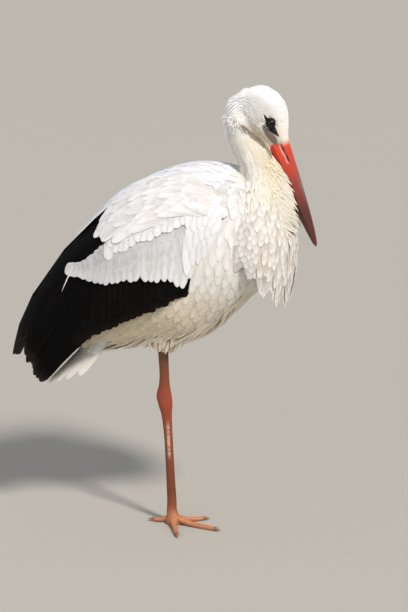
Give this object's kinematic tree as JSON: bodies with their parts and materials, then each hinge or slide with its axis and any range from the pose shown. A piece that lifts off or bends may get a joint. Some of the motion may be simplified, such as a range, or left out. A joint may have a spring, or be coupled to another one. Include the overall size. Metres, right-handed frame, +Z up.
{
  "type": "white stork",
  "caption": "Still model of a white stork resting on one leg, with its head bowed and its bill laid on its breast plumes.",
  "frame": {"origin": "the middle of the sole under the toes' joint of the standing right foot, on the floor", "axes": "+X the way the bird faces, +Y to its left, +Z up"},
  "size_m": [0.4995, 0.2022, 0.7544],
  "materials": {
    "plumage": "soft overlapping white feathers",
    "flight_feathers": "black flight feathers with worn brown edges",
    "bill_horn": "satin red horn",
    "leg_skin": "red scaled skin",
    "claw_horn": "dull brown horn",
    "eye": "wet dark brown eye"
  },
  "bodies": {
    "root": {"bill_lower": "bill_horn", "bill_upper": "bill_horn", "breast": "plumage", "breast_plumes": "plumage", "claw_hind_left": "claw_horn", "claw_hind_right": "claw_horn", "claw_inner_left": "claw_horn", "claw_inner_right": "claw_horn", "claw_middle_left": "claw_horn", "claw_middle_right": "claw_horn", "claw_outer_left": "claw_horn", "claw_outer_right": "claw_horn", "eye_left": "eye", "eye_right": "eye", "foot_right": "leg_skin", "head": "plumage", "neck": "plumage", "shank_left": "leg_skin", "shank_right": "leg_skin", "tail": "plumage", "tarsus_left": "leg_skin", "tarsus_right": "leg_skin", "thigh_right": "plumage", "toe_hind_left": "leg_skin", "toe_hind_right": "leg_skin", "toe_inner_left": "leg_skin", "toe_inner_right": "leg_skin", "toe_middle_left": "leg_skin", "toe_middle_right": "leg_skin", "toe_outer_left": "leg_skin", "toe_outer_right": "leg_skin", "trunk": "plumage", "vent": "plumage", "wing_left_coverts": "plumage", "wing_left_primaries": "flight_feathers", "wing_left_scapulars": "plumage", "wing_left_secondaries": "flight_feathers", "wing_left_tertials": "flight_feathers", "wing_right_coverts": "plumage", "wing_right_primaries": "flight_feathers", "wing_right_scapulars": "plumage", "wing_right_secondaries": "flight_feathers", "wing_right_tertials": "flight_feathers"}
  },
  "joints": []
}
